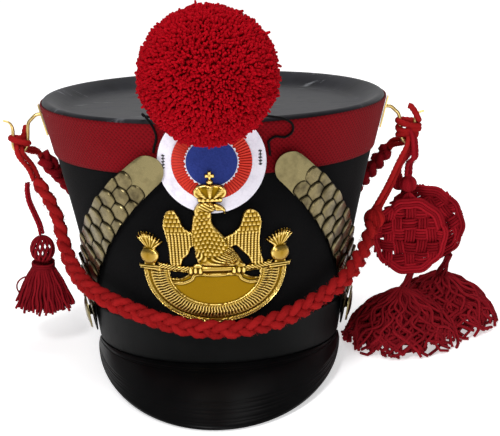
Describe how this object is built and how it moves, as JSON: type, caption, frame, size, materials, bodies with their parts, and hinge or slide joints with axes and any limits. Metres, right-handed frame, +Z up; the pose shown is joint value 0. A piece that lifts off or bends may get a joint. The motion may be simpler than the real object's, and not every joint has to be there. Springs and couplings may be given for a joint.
{
  "type": "shako hat",
  "caption": "Flared felt shako with leather crown and peak, gilt eagle plate, cockade, wool pompon, tied-up chin scales, brass hooks, plaited cords, woven knots and tassels.",
  "frame": {"origin": "middle of the hat's footprint, without its cords, on the surface it stands on", "axes": "+Z up, the front of the hat towards -Y, the wearer's left side towards +X; the hat is tipped back 7.7 degrees, standing on its peak's front edge and the back of its rim"},
  "size_m": [0.3603, 0.3327, 0.2906],
  "materials": {
    "felt": "matt black wool felt",
    "crown_leather": "satin black leather, scuffed",
    "band_leather": "dark satin leather",
    "peak_leather": "polished black leather",
    "red_braid": "woven wool braid",
    "pompon_wool": "looped wool",
    "plait_wool": "plaited wool cord",
    "tassel_wool": "twisted crimson wool",
    "cockade_white": "painted white leather",
    "cockade_red": "pleated cloth",
    "cockade_blue": "royal blue felt",
    "gilt": "gilt, stamped, lightly worn",
    "brass": "polished old brass",
    "lace": "thin black lace"
  },
  "bodies": {
    "root": {"base_band": "band_leather", "body_felt": "felt", "boss_left": "brass", "boss_right": "brass", "cockade_blue": "cockade_blue", "cockade_red": "cockade_red", "cockade_white": "cockade_white", "crown_top": "crown_leather", "drop_cord": "tassel_wool", "front_plait": "plait_wool", "hook_left": "brass", "hook_right": "brass", "knob_front": "tassel_wool", "knob_rear": "tassel_wool", "left_loop": "plait_wool", "left_tassel_cord": "tassel_wool", "peak": "peak_leather", "plate": "gilt", "pompon": "pompon_wool", "pompon_stem": "brass", "raquette_front": "tassel_wool", "raquette_rear": "tassel_wool", "rear_plait": "plait_wool", "right_loop": "plait_wool", "scale_end_plate_left": "brass", "scale_end_plate_right": "brass", "scale_left_01": "brass", "scale_left_02": "brass", "scale_left_03": "brass", "scale_left_04": "brass", "scale_left_05": "brass", "scale_left_06": "brass", "scale_left_07": "brass", "scale_left_08": "brass", "scale_left_09": "brass", "scale_left_10": "brass", "scale_left_11": "brass", "scale_left_12": "brass", "scale_right_01": "brass", "scale_right_02": "brass", "scale_right_03": "brass", "scale_right_04": "brass", "scale_right_05": "brass", "scale_right_06": "brass", "scale_right_07": "brass", "scale_right_08": "brass", "scale_right_09": "brass", "scale_right_10": "brass", "scale_right_11": "brass", "scale_right_12": "brass", "slide": "plait_wool", "strap_leather_left": "band_leather", "strap_leather_right": "band_leather", "tassel_front": "tassel_wool", "tassel_left": "tassel_wool", "tassel_rear": "tassel_wool", "tie_lace": "lace", "top_band": "red_braid"}
  },
  "joints": []
}
